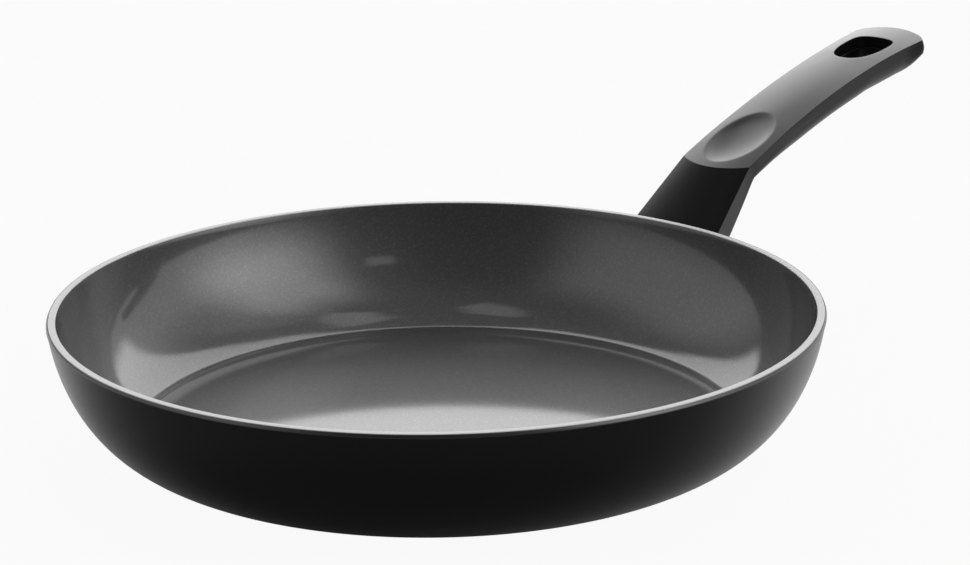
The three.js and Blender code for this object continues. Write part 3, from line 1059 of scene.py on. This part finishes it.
def makeStud(name, place):
    stud = fixingForm["stud"]
    radius, bore, top, edge = (stud[key] for key in ("radius", "bore", "to", "edge"))
    profile = [
        (0, stud["from"]), (radius, stud["from"]), (radius, top - edge), (radius - edge, top),
        (bore + edge, top), (bore, top - edge), (bore, stud["boreFrom"]), (0, stud["boreFrom"]),
    ]
    addPiece("stud_" + name, turnFixing(profile, place), rimMetal, "bare_aluminium", "weld_stud_" + name)


# Rings in place of a thread, a plain shank and a head rounded along its top
def screwProfile():
    screw = fixingForm["screw"]
    radius, root, pitch = screw["radius"], screw["root"], screw["pitch"]
    profile = [(0, screw["from"]), (root, screw["from"])]
    for k in range(round((screw["threadTo"] - screw["from"]) / pitch)):
        z = screw["from"] + pitch * k
        profile += [(radius, z + pitch / 2), (root, z + pitch)]
    profile += [(radius, screw["threadTo"] + pitch / 2), (radius, screw["headFrom"])]
    head, top, edge = screw["headRadius"], screw["headTo"], screw["headEdge"]
    profile += [(head, screw["headFrom"])]
    return profile + arc((head - edge, top - edge), edge, 0, 90, steps=6) + [Vector((0, top))]


# Two crossed bars, sunk into the screw's head
def crossCutter(place):
    cross = fixingForm["cross"]
    arm, reach = cross["width"] / 2, cross["span"] / 2
    bottom = fixingForm["screw"]["headTo"] - cross["depth"]
    bm = bmesh.new()
    corners = []
    for k in range(4):
        for x, y in ((reach, -arm), (reach, arm), (arm, arm)):
            corner = Matrix.Rotation(math.pi / 2 * k, 2) @ Vector((x, y))
            corners.append(bm.verts.new((corner.x * mm, corner.y * mm, bottom * mm)))
    thicken(bm, [bm.faces.new(corners)], 2 * cross["depth"])
    bmesh.ops.transform(bm, matrix=place, verts=bm.verts)
    return bm


def makeScrew(name, place):
    bm = turnFixing(screwProfile(), place)
    screw = addPiece("screw_" + name, bm, zincMetal, "zinc_steel", "handle_screw_" + name)
    cutAway(screw, crossCutter(place))


# A ring cut through once, its two ends sprung apart
def makeWasher(name, place):
    washer = fixingForm["washer"]
    bm = bmesh.new()
    corners = [(washer[r], washer[z]) for r, z in
               (("inner", "from"), ("outer", "from"), ("outer", "to"), ("inner", "to"))]
    verts = [bm.verts.new((r * mm, 0, z * mm)) for r, z in corners]
    start = bm.faces.new(verts)
    gap = washer["slit"] / washer["inner"]
    bmesh.ops.rotate(bm, verts=verts, cent=(0, 0, 0), matrix=Matrix.Rotation(gap / 2, 3, "Z"))
    bmesh.ops.spin(bm, geom=[start], cent=(0, 0, 0), axis=(0, 0, 1), dvec=(0, 0, 0),
                   angle=2 * math.pi - gap, steps=fixingForm["steps"])
    for vert in bm.verts:
        turned = (math.atan2(vert.co.y, vert.co.x) % (2 * math.pi)) / (2 * math.pi)
        vert.co.z += (turned - 0.5) * washer["spring"] * mm
    bmesh.ops.recalc_face_normals(bm, faces=bm.faces)
    bmesh.ops.transform(bm, matrix=place, verts=bm.verts)
    shadeByAngle(bm)
    addPiece("washer_" + name, bm, zincMetal, "zinc_steel", "lock_washer_" + name)


# Pocket for the stud, bore for the screw and recess for its head
def cutSeat(handle, place):
    pocket, bore, recess = (fixingForm[key] for key in ("pocket", "bore", "recess"))
    profile = [
        (0, pocket["from"]), (pocket["radius"], pocket["from"]),
        (pocket["radius"], pocket["to"]), (bore["radius"], pocket["to"]),
        (bore["radius"], bore["to"]), (recess["radius"], bore["to"]),
        (recess["radius"], recess["to"]), (0, recess["to"]),
    ]
    cutAway(handle, turnFixing(profile, place))


for side, name in ((-1, "left"), (1, "right")):
    place = fixingPlace(side)
    makeStud(name, place)
    makeScrew(name, place)
    makeWasher(name, place)
    cutSeat(handle, place)
print("fixings set")


# Floor, world and lights
floorForm = {
    "size": 8.0, "shade": 0.45, "roughness": 0.9,
    "glow": 0.94,  # share of the floor that is shown as white backdrop
    "fade": (-0.125, 0.045),  # from here back, to here, the floor turns into backdrop for a mirror, m
    "fadeTurn": 10.0,  # degrees to the right of straight back
}
worldForm = {"level": 0.1}
# Soft lights round the pan: degrees to the right of straight back and up, half their width and height,
# how much narrower they get upwards, and the width of their soft edge
softboxes = [
    # Behind the pan: a big light, a dimmer place in it, and a low light
    {"right": 5.6, "up": 39.5, "width": 40, "height": 24, "lean": 0.28, "soft": 7, "brightness": 2.0},
    {"right": 2, "up": 50, "width": 9, "height": 8, "soft": 12, "brightness": -1.5},
    {"right": 0, "up": 8, "width": 28, "height": 7, "soft": 8, "brightness": 2.2},
    # To the right, and to the left
    {"right": 118, "up": 34, "width": 22, "height": 26, "soft": 28, "brightness": 1.7},
    {"right": 85, "up": 54, "width": 20, "height": 12, "soft": 20, "brightness": 0.5},
    {"right": 80, "up": 12, "width": 45, "height": 22, "soft": 30, "brightness": 0.75},
    {"right": -92, "up": 26, "width": 42, "height": 26, "soft": 30, "brightness": 0.62},
    # Overhead: a faint one all round, and two narrow ones
    {"right": 0, "up": 80, "width": 200, "height": 22, "soft": 20, "brightness": 0.1},
    {"right": 65, "up": 75, "width": 30, "height": 5, "soft": 5, "brightness": 0.9},
    {"right": -95, "up": 80, "width": 45, "height": 5, "soft": 5, "brightness": 0.7},
    # A small one on the camera's side
    {"right": 160, "up": 33, "width": 5, "height": 3, "soft": 3, "brightness": 0.8},
]


def addFloor():
    bm = bmesh.new()
    bmesh.ops.create_grid(bm, x_segments=1, y_segments=1, size=floorForm["size"])
    mesh = bpy.data.meshes.new("floor")
    bm.to_mesh(mesh)
    bm.free()
    material, tree, shader = newMaterial("pale_floor")
    shader.inputs["Base Color"].default_value = (floorForm["shade"],) * 3 + (1,)
    shader.inputs["Roughness"].default_value = floorForm["roughness"]
    shader.inputs["Specular IOR Level"].default_value = 0
    ray = addNode(tree, "ShaderNodeLightPath")
    where = addNode(tree, "ShaderNodeTexCoord").outputs["Object"]
    away = turn(cameraView["azimuth"] - floorForm["fadeTurn"], "Z") @ Vector((0, 1, 0))
    behind = addNode(tree, "ShaderNodeVectorMath", {0: where, 1: away}, operation="DOT_PRODUCT")
    backdrop = smoothRange(tree, behind.outputs["Value"], *floorForm["fade"])
    glossy = calculate(tree, "MAXIMUM", ray.outputs["Is Glossy Ray"], ray.outputs["Is Transmission Ray"])
    mirrored = calculate(tree, "MULTIPLY", glossy, backdrop)
    seen = calculate(tree, "MAXIMUM", ray.outputs["Is Camera Ray"], mirrored)
    share = calculate(tree, "MULTIPLY", seen, floorForm["glow"])
    glow = addNode(tree, "ShaderNodeEmission", {"Color": (1, 1, 1, 1), "Strength": 1.0})
    mixed = addNode(tree, "ShaderNodeMixShader", {
        0: share, 1: shader.outputs["BSDF"], 2: glow.outputs["Emission"]})
    tree.links.new(mixed.outputs["Shader"], tree.nodes["Material Output"].inputs["Surface"])
    mesh.materials.append(material)
    floor = bpy.data.objects.new("floor", mesh)
    scene.collection.objects.link(floor)


# One soft-edged light far off: how much of it is seen in a direction, from 0 to its brightness
def makeSoftLight():
    labels = ("Up", "Width", "Height", "Lean", "Soft", "Brightness")
    group, given, result = newGroup(
        "softLight",
        [("Middle", "NodeSocketVector", (0, 0, 0)), ("Across", "NodeSocketVector", (0, 0, 0))]
        + [(label, "NodeSocketFloat", 0.0) for label in labels],
        [("Level", "NodeSocketFloat")])
    direction = addNode(group, "ShaderNodeTexCoord").outputs["Generated"]

    def along(axis):
        return addNode(group, "ShaderNodeVectorMath", {0: direction, 1: axis},
                       operation="DOT_PRODUCT").outputs["Value"]

    sideways = calculate(group, "ARCTAN2", along(given.outputs["Across"]), along(given.outputs["Middle"]))
    elevation = calculate(group, "ARCSINE", along((0, 0, 1)))
    upwards = calculate(group, "SUBTRACT", elevation, given.outputs["Up"])
    narrowing = calculate(group, "MULTIPLY", upwards, given.outputs["Lean"])
    narrowed = calculate(group, "SUBTRACT", given.outputs["Width"], narrowing)
    halfSoft = calculate(group, "MULTIPLY", given.outputs["Soft"], 0.5)
    level = given.outputs["Brightness"]
    for angle, limit in ((sideways, narrowed), (upwards, given.outputs["Height"])):
        off = calculate(group, "ABSOLUTE", angle)
        outer = calculate(group, "ADD", limit, halfSoft)
        inner = calculate(group, "SUBTRACT", limit, halfSoft)
        level = calculate(group, "MULTIPLY", level, smoothRange(group, off, outer, inner))
    group.links.new(level, result.inputs["Level"])
    return group


def addWorld():
    world = bpy.data.worlds.new("studio")
    scene.world = world
    world.use_nodes = True
    tree = world.node_tree
    softLight = makeSoftLight()
    total = worldForm["level"]
    for form in softboxes:
        facing = turn(cameraView["azimuth"] - form["right"], "Z")
        angles = {key.title(): math.radians(form[key]) for key in ("up", "width", "height", "soft")}
        placed = placeGroup(
            tree, softLight, Middle=facing @ Vector((0, 1, 0)), Across=facing @ Vector((1, 0, 0)),
            Lean=form.get("lean", 0), Brightness=form["brightness"], **angles)
        total = calculate(tree, "ADD", total, placed.outputs["Level"])
    tree.links.new(total, tree.nodes["Background"].inputs["Strength"])
    tree.nodes["Background"].inputs["Color"].default_value = (1, 1, 1, 1)


addFloor()
addWorld()
scene.view_settings.view_transform = "Standard"
print("studio lit")
